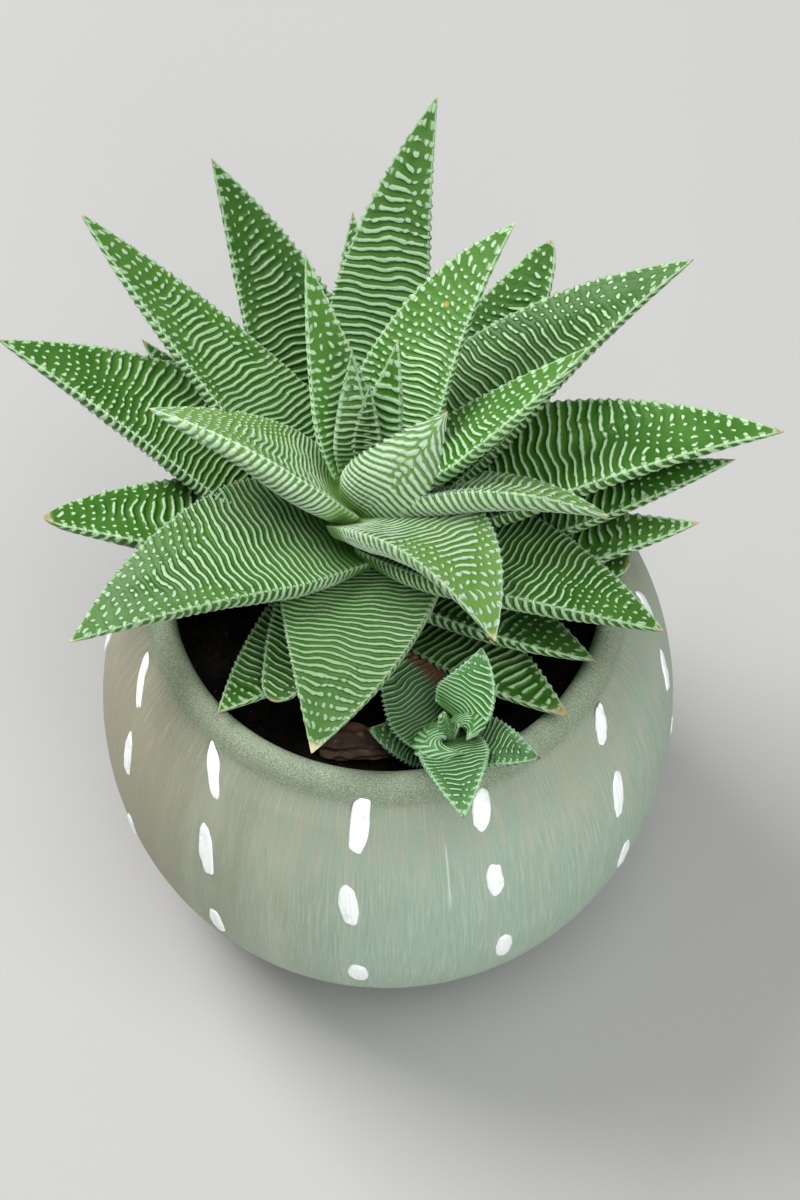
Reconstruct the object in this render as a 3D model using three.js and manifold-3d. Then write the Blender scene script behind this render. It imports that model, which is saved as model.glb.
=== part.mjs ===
// Potted haworthia: a rosette of thick ridged leaves and one small offset shoot in a round painted clay pot.
// Millimetres, +Z up. The origin is the middle of the pot's flat base, and the front of the object faces -Y.

import * as THREE from "three";
import { mergeVertices } from "three/addons/utils/BufferGeometryUtils.js";
import Module from "manifold-3d";

const wasm = await Module();
wasm.setup();

// Clearance kept between neighbouring pieces
const GAP = 0.3;

// Pot: a body swelling to BELLY_RADIUS, a rolled rim and a hollow inside with a solid floor
const POT_HEIGHT = 76;
const BELLY_RADIUS = 50;
const BELLY_Z = 38;
const LOWER_CURVE = 55;
const UPPER_CURVE = 57.5;
const BASE_RADIUS = 34.5;
const WALL = 4.5;
const FLOOR = 6;
const MOUTH_RADIUS = 35.1;
const SOIL_RADIUS = 36.2;
const INNER_HEIGHTS = [60, 46, 31, 16];
const POT_SEGMENTS = 36;

// Soil: fills the pot to SOIL_Z, with low lumps on top
const SOIL_Z = 66;
const SOIL_LUMP = 0.9;

// Stems, as [x, y] of the axis, radius at the soil and height of the top
const STEM = { x: -3, y: 7, radius: 4.5, top: 96 };
const OFFSET_STEM = { x: 10, y: -29.5, radius: 2.4, top: 80 };
const STEM_ROOT_Z = 58;

// Leaves: how thick they are, how high the cross ridges stand and how full they stay towards the tip
const LEAF_SIDES = 6;
const FULLNESS = 2;
const SLIM_FULLNESS = 1.3;
const SLIM_LEAVES = ["leaf_01", "leaf_02", "leaf_03", "leaf_05"];
const KEEL_DEPTH = 0.25;
const BUD_DEPTH = 0.8;
const CHANNEL_DEPTH = 0.08;
const RIDGE_HEIGHT = 0.45;
const RIDGE_SPACING = 5.4;
const CUTTER_ROWS = 9;

// Colours taken from the object
const POT_COLOUR = 0x87908a;
const SOIL_COLOUR = 0x1d1916;
const HUSK_COLOUR = 0x4a2c1c;
const STEM_COLOUR = 0x7d7a4a;
const LEAF_DARK = 0x2f6a32;
const LEAF_MID = 0x3f8440;
const LEAF_PALE = 0x7fae78;
const OFFSET_COLOUR = 0x4c8a58;

// One row a leaf, the youngest first: height and direction (degrees) of its root on the stem, then direction,
// distance and height of its tip, the rise and the sideways sweep of its curve as shares of its length, its
// greatest width, the roll of its face in degrees, how much of its taper is there (under 1 the end is blunt)
// and its colour.
const ROSETTE = [
  ["leaf_01", 96, 100, 88, 10, 107, 0, 0, 4.5, 0, 1, LEAF_DARK],
  ["leaf_02", 94, 150, 101, 13, 112, -0.02, 0, 6.3, 0, 1, LEAF_DARK],
  ["leaf_03", 94, 79, 70, 14, 114, -0.02, 0, 7.5, 0, 1, LEAF_MID],
  ["leaf_04", 91, -95, 3, 12.5, 112, 0.06, -0.08, 13.5, 128, 1, LEAF_PALE],
  ["leaf_05", 93, 116, 110, 29, 118, -0.02, 0, 12, -10, 1, LEAF_MID],
  ["leaf_06", 92, 27, 25, 39, 108, 0, 0, 15, 29, 1, LEAF_MID],
  ["leaf_07", 91, 180, 166, 36, 102, 0.12, -0.02, 24.5, -40, 1, LEAF_PALE],
  ["leaf_08", 91, -115, -58, 37, 96, 0.17, 0.11, 22, 20, 1, LEAF_PALE],
  ["leaf_09", 90, -20, -12, 39, 96, 0.1, 0.07, 19, 43, 1, LEAF_PALE],
  ["leaf_10", 91, 70, 55, 41, 118, -0.02, 0.1, 17, 10, 1, LEAF_MID],
  ["leaf_11", 88, 82, 80, 66, 114, -0.05, 0.06, 19, 0, 1, LEAF_MID],
  ["leaf_12", 86, -150, -153, 53, 84, 0.12, -0.02, 26, -10, 1, LEAF_MID],
  ["leaf_13", 88, 42, 33, 63, 108, -0.02, 0.09, 23, 12, 1, LEAF_DARK],
  ["leaf_14", 87, 137, 137, 65, 108, 0, -0.01, 20, -25, 1, LEAF_MID],
  ["leaf_15", 87, 12, 6, 67, 98, 0, 0.08, 24, 10, 1, LEAF_DARK],
  ["leaf_16", 85, -100, -101, 45, 84, 0.1, 0.04, 26, -5, 1, LEAF_MID],
  ["leaf_18", 86, -28, -29, 53, 90, 0.05, 0.02, 26, 20, 1, LEAF_DARK],
  ["leaf_19", 81, 156, 156, 67, 96, 0, -0.06, 27, -15, 1, LEAF_DARK],
  ["leaf_17", 78, 115, 117, 57, 114, -0.1, -0.06, 22, -5, 1, LEAF_DARK],
  ["leaf_21", 77, 56, 55, 53, 102, -0.03, 0, 22, 0, 0.95, LEAF_DARK],
  ["leaf_22", 78.5, 7, 5, 59.5, 93, 0, 0, 17, 5, 1, LEAF_DARK],
  ["leaf_24", 78, -33, -36, 44.5, 82, 0, 0, 19, 20, 1, LEAF_DARK],
  ["leaf_23", 77, 181, 183, 52.5, 88, 0.02, -0.04, 23, -15, 0.95, LEAF_DARK],
  ["leaf_20", 75, 94, 93, 59.5, 91, 0, 0, 15, 0, 1, LEAF_DARK],
  ["leaf_25", 74, 142, 140, 50, 90, -0.03, 0, 16, -10, 1, LEAF_DARK],
  ["leaf_26", 74, -2, -4, 53.5, 88, -0.02, 0, 17, 5, 1, LEAF_DARK],
  ["leaf_28", 77, -120, -116, 35, 78.5, 0.05, 0, 17, 0, 0.9, LEAF_DARK],
  ["leaf_30", 71, -6, -8, 43, 80, -0.03, 0, 16, 0, 0.85, LEAF_DARK],
  ["leaf_27", 71, -48, -48, 47.5, 80, -0.02, 0, 16, 5, 1, LEAF_DARK],
  ["leaf_29", 70.5, -129, -125, 41.5, 79, -0.01, 0, 16, 0, 1, LEAF_DARK],
  ["leaf_32", 70.5, -68, -66, 30, 72.5, 0, 0, 13, 0, 1, LEAF_DARK],
];

const OFFSET_SHOOT = [
  ["offset_bud_1", 78, -135, 200, 1.6, 84.4, 0, 0, 2.6, 180, 0.8, OFFSET_COLOUR],
  ["offset_bud_2", 77, -60, -45, 2.2, 83, 0, 0, 2, 180, 0.8, OFFSET_COLOUR],
  ["offset_heart_1", 78.5, 165, -70, 6.4, 81.4, 0.03, -0.5, 5.4, 165, 1, OFFSET_COLOUR],
  ["offset_heart_2", 78.5, 70, -62, 4.8, 81.8, 0.08, 0.38, 4.6, 185, 1, OFFSET_COLOUR],
  ["offset_leaf_1", 79, 85, 65, 11.6, 86, 0.12, -0.1, 9.6, 0, 1, OFFSET_COLOUR],
  ["offset_leaf_2", 79, -90, -84, 17.5, 81, 0.12, 0, 10.5, 0, 1, OFFSET_COLOUR],
  ["offset_leaf_3", 75, 140, 125, 19, 79.5, 0, 0, 13, 0, 1, OFFSET_COLOUR],
  ["offset_leaf_4", 73, 175, 167, 13.5, 73, 0, 0, 9, 0, 1, OFFSET_COLOUR],
  ["offset_leaf_5", 78, -20, -26, 15.5, 81, 0, 0, 9, 0, 1, OFFSET_COLOUR],
];

// Dry husk on the soil: its two ends, its width and its curve
const HUSK = { from: [-11, -25.5], to: [5, -28.5], width: 6.5 };

const radians = THREE.MathUtils.degToRad;
const clamp = THREE.MathUtils.clamp;

// Vector from an axis point at a height, a direction in degrees and a distance
function around(axis, z, direction, distance) {
  const a = radians(direction);
  return new THREE.Vector3(axis.x + distance * Math.cos(a), axis.y + distance * Math.sin(a), z);
}

// Position, facing and size of one leaf along its length, from its row and the stem it grows on
function leafFrame(row, stem) {
  const [name, rootZ, rootDirection, tipDirection, reach, tipZ, bow, sweep, width, roll, taper] = row;
  const root = around(stem, rootZ, rootDirection, stem.radius * 0.6);
  const tip = around(stem, tipZ, tipDirection, reach);
  const chord = tip.clone().sub(root);
  const length = chord.length();
  const left = new THREE.Vector3(0, 0, 1).cross(chord).normalize();
  const above = chord.clone().normalize().cross(left);
  const middle = root.clone().add(tip).multiplyScalar(0.5);
  middle.addScaledVector(above, 2 * bow * length);
  middle.addScaledVector(left, 2 * sweep * length);
  const curve = new THREE.QuadraticBezierCurve3(root, middle, tip);
  const fullness = SLIM_LEAVES.includes(name) ? SLIM_FULLNESS : FULLNESS;
  const keel = name.startsWith("offset_bud") ? BUD_DEPTH : KEEL_DEPTH;
  return { curve, above, length, width, taper, fullness, keel, roll: radians(roll) };
}

// Half width of a leaf at the share s of its length
function halfWidth(leaf, s) {
  const base = 0.7 + 0.3 * Math.pow(clamp(s / 0.3, 0, 1), 0.7);
  const tapered = (1 - (s * leaf.taper) ** leaf.fullness) / 0.92;
  const end = clamp((s - 0.93) / 0.07, 0, 1);
  const rounding = leaf.taper < 1 ? Math.sqrt(1 - end * end) : 1;
  return (leaf.width / 2) * base * tapered * rounding;
}

// A closed leaf: a cone whose rings become the leaf's section, with a flat channelled face above, flanks and a
// keel below. Every second ring stands out by the ridge height. A cutter is the same leaf grown all round.
function leafGeometry(leaf, rows, ridge, grow) {
  const geometry = new THREE.ConeGeometry(1, 1, LEAF_SIDES, rows);
  const position = geometry.getAttribute("position");
  const point = new THREE.Vector3();
  for (let i = 0; i < position.count; i++) {
    point.fromBufferAttribute(position, i);
    const row = Math.round((point.y + 0.5) * rows);
    const s = row / rows;
    const tangent = leaf.curve.getTangent(s);
    const up = leaf.above.clone().addScaledVector(tangent, -leaf.above.dot(tangent)).normalize();
    const side = up.clone().cross(tangent);
    const faceUp = up.clone().multiplyScalar(Math.cos(leaf.roll)).addScaledVector(side, Math.sin(leaf.roll));
    const faceSide = side.multiplyScalar(Math.cos(leaf.roll)).addScaledVector(up, -Math.sin(leaf.roll));
    const w = halfWidth(leaf, s);
    const share = (2 * w) / leaf.width;
    const depth = leaf.width * leaf.keel * Math.pow(share, 0.7);
    const channel = leaf.width * CHANNEL_DEPTH * (1 - s) * share;
    const raised = row % 2 === 1 ? ridge * clamp(share * 2, 0, 1) : 0;
    const out = raised + grow;
    const turn = Math.atan2(point.x, point.z) / (2 * Math.PI);
    const corner = [
      [0, -depth - out],
      [0.72 * w + 0.7 * out, -0.72 * depth - 0.7 * out],
      [w + 0.9 * raised + 1.6 * grow, 0.7 * grow],
      [0, -channel + out],
      [-w - 0.9 * raised - 1.6 * grow, 0.7 * grow],
      [-0.72 * w - 0.7 * out, -0.72 * depth - 0.7 * out],
    ][Math.round((turn + 1) * LEAF_SIDES) % LEAF_SIDES];
    const onAxis = point.x * point.x + point.z * point.z < 1e-6;
    const [x, n] = onAxis ? [0, -0.4 * depth] : corner;
    const place = leaf.curve.getPoint(s).addScaledVector(faceSide, x).addScaledVector(faceUp, n);
    if (row === rows) place.addScaledVector(tangent, 2 * grow);
    if (row === 0) place.addScaledVector(tangent, -grow);
    position.setXYZ(i, place.x, place.y, place.z);
  }
  return geometry;
}

// A closed geometry as a solid that can be joined and cut
function solidOf(geometry) {
  const bare = new THREE.BufferGeometry();
  bare.setAttribute("position", geometry.getAttribute("position").clone());
  if (geometry.index) bare.setIndex(geometry.index.clone());
  const merged = mergeVertices(bare, 1e-3);
  return new wasm.Manifold(
    new wasm.Mesh({
      numProp: 3,
      vertProperties: new Float32Array(merged.getAttribute("position").array),
      triVerts: new Uint32Array(merged.index.array),
    }),
  );
}

// A solid as a mesh with its own material. Of a cut solid only the largest body is kept.
function meshOf(name, solid, colour, roughness) {
  const bodies = solid.decompose();
  bodies.sort((a, b) => b.volume() - a.volume());
  const { vertProperties, triVerts } = bodies[0].getMesh();
  const geometry = new THREE.BufferGeometry();
  geometry.setAttribute("position", new THREE.BufferAttribute(vertProperties, 3));
  geometry.setIndex(new THREE.BufferAttribute(triVerts, 1));
  geometry.computeVertexNormals();
  const material = new THREE.MeshStandardMaterial({ color: colour, roughness, metalness: 0 });
  const mesh = new THREE.Mesh(geometry, material);
  mesh.name = name;
  return mesh;
}

// A turned solid about +Z from [radius, height] pairs
function turned(profile, segments, x = 0, y = 0) {
  const points = profile.map(([r, z]) => new THREE.Vector2(r, z));
  const geometry = new THREE.LatheGeometry(points, segments);
  geometry.rotateX(Math.PI / 2);
  geometry.translate(x, y, 0);
  return geometry;
}

function bellyRadius(z) {
  const reach = z < BELLY_Z ? LOWER_CURVE : UPPER_CURVE;
  return BELLY_RADIUS * Math.sqrt(1 - ((z - BELLY_Z) / reach) ** 2);
}

// Pot: across the base, up the outside, over the rolled rim, down the inside and across the floor
function potGeometry() {
  const outside = [7, 17, 28, 38, 48, 58, 67].map((z) => [bellyRadius(z), z]);
  const inside = INNER_HEIGHTS.map((z) => [bellyRadius(z) - WALL, z]);
  const profile = [
    [0, 0],
    [BASE_RADIUS, 0],
    [BASE_RADIUS + 2, 1],
    ...outside,
    [38.9, 74.4],
    [38.2, 75.6],
    [36.8, POT_HEIGHT],
    [35.5, 75.5],
    [MOUTH_RADIUS - 0.2, 74],
    [MOUTH_RADIUS, 70],
    [SOIL_RADIUS, SOIL_Z],
    ...inside,
    [BASE_RADIUS - 1, FLOOR],
    [0, FLOOR],
  ];
  return turned(profile, POT_SEGMENTS);
}

// Height of the lumpy top of the soil at x, y
function soilHeight(x, y) {
  const broad = Math.sin(0.31 * x + 1.3) * Math.sin(0.27 * y + 0.4);
  const fine = 0.5 * Math.sin(0.83 * x - 0.6 * y) * Math.sin(0.71 * y + 0.35 * x + 2);
  return SOIL_Z + SOIL_LUMP * (broad + fine);
}

// Soil: follows the inside of the pot with the clearance, with the lumps on top
function soilGeometry() {
  const wall = [...INNER_HEIGHTS].reverse().map((z) => [bellyRadius(z) - WALL - GAP, z]);
  const edge = SOIL_RADIUS - GAP;
  const top = [1, 0.86, 0.7, 0.54, 0.38, 0.2].map((share) => [edge * share, SOIL_Z]);
  const floor = [[0, FLOOR + GAP], [BASE_RADIUS - 1 - GAP, FLOOR + GAP]];
  const profile = [...floor, ...wall, ...top, [0, SOIL_Z]];
  const geometry = turned(profile, POT_SEGMENTS);
  const position = geometry.getAttribute("position");
  for (let i = 0; i < position.count; i++) {
    const [x, y, z] = [position.getX(i), position.getY(i), position.getZ(i)];
    if (z > SOIL_Z - 0.01 && Math.hypot(x, y) < edge - 0.1) position.setZ(i, soilHeight(x, y));
  }
  return geometry;
}

// Stem: a plain round shaft with a domed top, grown all round by a clearance for its hole
function stemGeometry(stem, grow) {
  const profile = [
    [0, STEM_ROOT_Z - grow],
    [stem.radius + grow, STEM_ROOT_Z - grow],
    [stem.radius + grow, stem.top - 6],
    [stem.radius * 0.7 + grow, stem.top - 2],
    [stem.radius * 0.35 + grow, stem.top + grow],
    [0, stem.top + grow],
  ];
  return turned(profile, 12, stem.x, stem.y);
}

const group = new THREE.Group();
const stemCutters = [];
const leafCutters = [];
let soil = solidOf(soilGeometry());

for (const [name, stem] of [["stem", STEM], ["offset_stem", OFFSET_STEM]]) {
  group.add(meshOf(name, solidOf(stemGeometry(stem, 0)), STEM_COLOUR, 0.6));
  const cutter = solidOf(stemGeometry(stem, GAP));
  stemCutters.push(cutter);
  soil = soil.subtract(cutter);
}

function boxesMeet(a, b) {
  const [p, q] = [a.boundingBox(), b.boundingBox()];
  return [0, 1, 2].every((i) => p.min[i] < q.max[i] && q.min[i] < p.max[i]);
}

// Each leaf is trimmed where a stem or a leaf above it lies in its way
function addLeaf(row, stem) {
  const leaf = leafFrame(row, stem);
  const rows = 2 * Math.max(4, Math.round(leaf.length / RIDGE_SPACING)) + 1;
  let solid = solidOf(leafGeometry(leaf, rows, RIDGE_HEIGHT, 0));
  for (const cutter of [...stemCutters, ...leafCutters]) {
    if (boxesMeet(solid, cutter)) solid = solid.subtract(cutter);
  }
  leafCutters.push(solidOf(leafGeometry(leaf, CUTTER_ROWS, 0, RIDGE_HEIGHT + GAP)));
  group.add(meshOf(row[0], solid, row[11], 0.55));
}

for (const row of ROSETTE) addLeaf(row, STEM);
for (const row of OFFSET_SHOOT) addLeaf(row, OFFSET_STEM);

// Husk: an old dried leaf, keel up, lowered until it nearly touches the highest soil under it
function huskGeometry() {
  const [from, to] = [HUSK.from, HUSK.to].map(([x, y]) => new THREE.Vector3(x, y, SOIL_Z + 3));
  const middle = from.clone().add(to).multiplyScalar(0.5).add(new THREE.Vector3(0, 1.5, 0.8));
  const curve = new THREE.QuadraticBezierCurve3(from, middle, to);
  const up = new THREE.Vector3(0, 0, 1);
  const size = { length: 16, width: HUSK.width, taper: 1, fullness: FULLNESS, keel: KEEL_DEPTH };
  const husk = { curve, above: up, roll: Math.PI, ...size };
  const geometry = leafGeometry(husk, 7, 0.3, 0);
  const position = geometry.getAttribute("position");
  let clearance = Infinity;
  for (let i = 0; i < position.count; i++) {
    const ground = soilHeight(position.getX(i), position.getY(i));
    clearance = Math.min(clearance, position.getZ(i) - ground);
  }
  geometry.translate(0, 0, 1.5 * GAP - clearance);
  return geometry;
}

group.add(meshOf("pot", solidOf(potGeometry()), POT_COLOUR, 0.75));
group.add(meshOf("dry_husk", solidOf(huskGeometry()), HUSK_COLOUR, 0.9));
group.add(meshOf("soil", soil, SOIL_COLOUR, 0.95));

export default group;
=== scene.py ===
# Potted haworthia: a rosette of thick ridged leaves and a small offset shoot in a round painted clay pot.
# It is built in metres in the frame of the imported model, whose origin is the middle of the pot's base.
# The sizes of leaves, pot, paint, soil and husk are written in millimetres and scaled by MM.

import math

import bmesh
import bpy
import numpy as np
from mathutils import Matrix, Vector, noise


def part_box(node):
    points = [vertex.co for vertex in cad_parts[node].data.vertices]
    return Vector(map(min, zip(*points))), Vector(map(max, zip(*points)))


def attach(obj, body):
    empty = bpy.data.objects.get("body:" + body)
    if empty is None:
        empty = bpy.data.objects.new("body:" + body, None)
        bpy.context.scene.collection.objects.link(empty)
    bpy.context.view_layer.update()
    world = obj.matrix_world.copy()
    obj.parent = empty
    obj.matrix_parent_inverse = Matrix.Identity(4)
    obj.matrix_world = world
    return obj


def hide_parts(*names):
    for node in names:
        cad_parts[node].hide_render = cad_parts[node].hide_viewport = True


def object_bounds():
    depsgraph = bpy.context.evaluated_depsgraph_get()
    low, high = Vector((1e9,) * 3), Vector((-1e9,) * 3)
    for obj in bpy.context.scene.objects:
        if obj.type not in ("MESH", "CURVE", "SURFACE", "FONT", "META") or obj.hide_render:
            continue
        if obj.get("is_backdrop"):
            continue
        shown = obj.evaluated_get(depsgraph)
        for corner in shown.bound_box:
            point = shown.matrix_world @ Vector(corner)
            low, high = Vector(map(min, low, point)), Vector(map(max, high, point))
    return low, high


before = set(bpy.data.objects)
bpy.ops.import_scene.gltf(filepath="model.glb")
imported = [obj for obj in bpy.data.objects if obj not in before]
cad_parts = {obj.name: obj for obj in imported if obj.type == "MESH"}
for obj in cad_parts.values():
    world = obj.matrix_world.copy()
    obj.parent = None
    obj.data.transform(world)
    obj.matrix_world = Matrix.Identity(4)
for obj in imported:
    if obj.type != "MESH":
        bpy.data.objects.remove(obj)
cad_low, cad_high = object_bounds()
MM = 0.001


# ---- Camera: looks down at the front of the pot, as the photograph does ----
# Its place and lens were found from the pot's rim and outline.
def put_in_scene(title, data):
    item = bpy.data.objects.new(title, data)
    bpy.context.collection.objects.link(item)
    return item


def aim(item, target):
    item.rotation_euler = (Vector(target) - item.location).to_track_quat("-Z", "Y").to_euler()


camera_data = bpy.data.cameras.new("camera")
camera_data.sensor_width = 36
camera_data.lens = 78
camera_data.clip_start = 0.01
camera = put_in_scene("camera", camera_data)
camera.location = (0.00208, -0.2329, 0.43405)
aim(camera, (0.00208, 0.02033, 0.03808))
bpy.context.scene.camera = camera


# ---- Studio: a plain pale floor, a soft sky and three large soft lamps ----
# The window lamp stands at the back left, and two weaker lamps fill its shadows from above and in front.
FLOOR_GREY = (0.40, 0.395, 0.385, 1)
SKY_WHITE = (0.93, 0.97, 1.0, 1)
LAMP_TARGET = (0, 0, 0.07)
# Place, width in metres and power in watts
LAMPS = [
    ("window", (-0.75, 0.55, 1.1), 0.7, 23),
    ("ceiling", (0.3, -0.25, 1.5), 1.0, 11),
    ("front fill", (0.4, -1.25, 0.45), 0.9, 10.5),
]

floor_mesh = bpy.data.meshes.new("floor")
floor_bm = bmesh.new()
bmesh.ops.create_grid(floor_bm, x_segments=1, y_segments=1, size=3)
floor_bm.to_mesh(floor_mesh)
floor_bm.free()
floor = put_in_scene("floor", floor_mesh)
floor_material = bpy.data.materials.new("floor")
floor_material.use_nodes = True
floor_skin = floor_material.node_tree.nodes["Principled BSDF"]
floor_skin.inputs["Base Color"].default_value = FLOOR_GREY
floor_skin.inputs["Roughness"].default_value = 0.8
floor_mesh.materials.append(floor_material)
floor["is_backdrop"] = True

world = bpy.data.worlds.new("soft sky")
world.use_nodes = True
sky = world.node_tree.nodes["Background"]
sky.inputs["Color"].default_value = SKY_WHITE
sky.inputs["Strength"].default_value = 0.34
bpy.context.scene.world = world
bpy.context.scene.view_settings.view_transform = "Standard"

for name, place, width, power in LAMPS:
    lamp_data = bpy.data.lights.new(name, "AREA")
    lamp_data.size = width
    lamp_data.energy = power
    lamp = put_in_scene(name, lamp_data)
    lamp.location = place
    aim(lamp, LAMP_TARGET)


# ---- Leaf skin: green flesh under raised pale ridges that break into beads, with a pale margin ----
# The mesh carries the place of each ridge as attributes, so the pale lines lie on the raised crests.
SKIN_COLOURS = ("Valley", "Slope", "Crest", "Dry")
ORANGE_SPECK = (0.5, 0.30, 0.06, 1)

skin = bpy.data.node_groups.new("ridged skin", "ShaderNodeTree")
for name in SKIN_COLOURS:
    skin.interface.new_socket(name, in_out="INPUT", socket_type="NodeSocketColor")
skin.interface.new_socket("Line", in_out="INPUT", socket_type="NodeSocketFloat")
skin.interface.new_socket("Color", in_out="OUTPUT", socket_type="NodeSocketColor")
skin.interface.new_socket("Height", in_out="OUTPUT", socket_type="NodeSocketFloat")
nodes = skin.nodes
links = skin.links
given = nodes.new("NodeGroupInput")
made = nodes.new("NodeGroupOutput")


def attribute(name):
    node = nodes.new("ShaderNodeAttribute")
    node.attribute_name = name
    return node.outputs["Fac"]


def maths(operation, *values):
    node = nodes.new("ShaderNodeMath")
    node.operation = operation
    for socket, value in zip(node.inputs, values):
        if isinstance(value, (int, float)):
            socket.default_value = value
        else:
            links.new(value, socket)
    return node.outputs[0]


def ramp(value, low, high, start=0.0, end=1.0):
    node = nodes.new("ShaderNodeMapRange")
    node.interpolation_type = "SMOOTHSTEP"
    limits = {"Value": value, "From Min": low, "From Max": high, "To Min": start, "To Max": end}
    for name, item in limits.items():
        if isinstance(item, (int, float)):
            node.inputs[name].default_value = item
        else:
            links.new(item, node.inputs[name])
    return node.outputs["Result"]


def blended(share, first, second):
    node = nodes.new("ShaderNodeMix")
    node.data_type = "RGBA"
    for socket, item in [(node.inputs[0], share), (node.inputs[6], first), (node.inputs[7], second)]:
        if isinstance(item, (int, float, tuple)):
            socket.default_value = item
        else:
            links.new(item, socket)
    return node.outputs[2]


def speckle(scale, detail, vector):
    node = nodes.new("ShaderNodeTexNoise")
    node.inputs["Scale"].default_value = scale
    node.inputs["Detail"].default_value = detail
    links.new(vector, node.inputs["Vector"])
    return node.outputs["Fac"]


def centred(value, swing):
    return maths("MULTIPLY", maths("SUBTRACT", value, 0.5), swing)


def ripple(value):
    return maths("COSINE", maths("MULTIPLY", value, 2 * math.pi))


place = nodes.new("ShaderNodeTexCoord").outputs["Object"]
phase = attribute("phase")
broad = speckle(130, 2, place)
fine = speckle(900, 3, place)
patchy = speckle(420, 1, place)
# Crest of the ridges, a little frayed, and more so where they are broken into beads
loose = maths("SUBTRACT", 1.0, attribute("whole"))
stray = centred(patchy, maths("MULTIPLY_ADD", loose, 0.6, 0.25))
jitter = maths("ADD", centred(fine, 0.22), stray)
wave = ripple(maths("ADD", phase, jitter))
# Beads along each ridge, shifted from one ridge to the next
cell = nodes.new("ShaderNodeTexWhiteNoise")
cell.noise_dimensions = "1D"
links.new(maths("FLOOR", maths("ADD", phase, 0.5)), cell.inputs["W"])
bead_shift = maths("ADD", cell.outputs["Value"], maths("MULTIPLY", patchy, 1.2))
bead_wave = maths("MULTIPLY_ADD", ripple(maths("ADD", attribute("bead"), bead_shift)), 0.5, 0.5)
whole = ramp(maths("ADD", attribute("whole"), centred(patchy, 1.1)), 0.0, 1.0)
lost = maths("MULTIPLY", maths("SUBTRACT", 1.0, whole), maths("SUBTRACT", 1.0, bead_wave))
kept = maths("SUBTRACT", 1.0, lost)
level = maths("SUBTRACT", maths("MULTIPLY", maths("ADD", wave, 1.0), kept), 1.0)
strength = attribute("strength")
# The pale line on each crest is wider on the flanks and where the ridge is broken into beads
line = maths("SUBTRACT", given.outputs["Line"], maths("MULTIPLY", attribute("below"), 0.6))
line = maths("SUBTRACT", line, maths("MULTIPLY", loose, 0.22))
pale = maths("MULTIPLY", ramp(level, maths("SUBTRACT", line, 0.1), maths("ADD", line, 0.5)), strength)
slope = maths("MULTIPLY", ramp(level, maths("MULTIPLY_ADD", loose, 0.9, -0.9), 0.5), strength)
# Pale margin of the leaf, with a tooth at the end of each ridge
distance = attribute("edge")
teeth = maths("MULTIPLY", ramp(distance, 1.1, 0.5), ramp(wave, -0.1, 0.5))
rim_line = ramp(distance, 0.36, 0.12, 0.0, 0.75)
margin = maths("MAXIMUM", rim_line, maths("MULTIPLY", teeth, 0.9))
# Colour from the valleys to the crests, mottled by the broad and fine noise
valley = blended(ramp(broad, 0.35, 0.7, 0.0, 0.5), given.outputs["Valley"], given.outputs["Slope"])
green = blended(maths("MAXIMUM", slope, maths("MULTIPLY", loose, 0.35)), valley, given.outputs["Slope"])
base = blended(ramp(attribute("along"), 0.16, 0.0), green, given.outputs["Slope"])
lined = blended(maths("MAXIMUM", pale, margin), base, given.outputs["Crest"])
toned = nodes.new("ShaderNodeHueSaturation")
links.new(lined, toned.inputs["Color"])
links.new(maths("ADD", attribute("tone"), 1.0), toned.inputs["Value"])
# A few orange specks, and the dry brown tips and margin
spots = nodes.new("ShaderNodeTexVoronoi")
spots.inputs["Scale"].default_value = 150
links.new(place, spots.inputs["Vector"])
rare = maths("MULTIPLY", ramp(spots.outputs["Distance"], 0.1, 0.05), ramp(broad, 0.6, 0.66, 0.0, 0.8))
specked = blended(rare, toned.outputs["Color"], ORANGE_SPECK)
dry = maths("MULTIPLY", attribute("dry"), ramp(fine, 0.2, 0.65, 0.75, 1.0))
links.new(blended(dry, specked, given.outputs["Dry"]), made.inputs["Color"])
height = maths("MULTIPLY_ADD", slope, 0.5, pale)
links.new(maths("MULTIPLY_ADD", fine, 0.35, height), made.inputs["Height"])


def new_material(title, roughness, specular=0.5):
    material = bpy.data.materials.new(title)
    material.use_nodes = True
    shader = material.node_tree.nodes["Principled BSDF"]
    shader.inputs["Roughness"].default_value = roughness
    shader.inputs["Specular IOR Level"].default_value = specular
    return material, material.node_tree.nodes, material.node_tree.links, shader


def finish_surface(colour, height, strength, distance):
    bump = nodes.new("ShaderNodeBump")
    bump.inputs["Strength"].default_value = strength
    bump.inputs["Distance"].default_value = distance
    links.new(colour, shader.inputs["Base Color"])
    links.new(height, bump.inputs["Height"])
    links.new(bump.outputs["Normal"], shader.inputs["Normal"])


# Colours in the order of SKIN_COLOURS, how narrow the pale line is, and roughness, for each kind of leaf
LEAF_LOOKS = {
    "young_leaf": (
        [(0.085, 0.215, 0.024), (0.18, 0.33, 0.085), (0.43, 0.58, 0.40), (0.55, 0.47, 0.27)],
        -0.1,
        0.42,
    ),
    "leaf": (
        [(0.030, 0.122, 0.007), (0.085, 0.215, 0.032), (0.36, 0.53, 0.31), (0.55, 0.48, 0.28)],
        0.0,
        0.40,
    ),
    "old_leaf": (
        [(0.018, 0.088, 0.004), (0.062, 0.175, 0.022), (0.37, 0.53, 0.31), (0.36, 0.29, 0.15)],
        0.32,
        0.40,
    ),
    "offset_leaf": (
        [(0.028, 0.105, 0.016), (0.080, 0.190, 0.055), (0.27, 0.44, 0.26), (0.13, 0.05, 0.025)],
        0.3,
        0.45,
    ),
}
leaf_materials = {}
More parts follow.
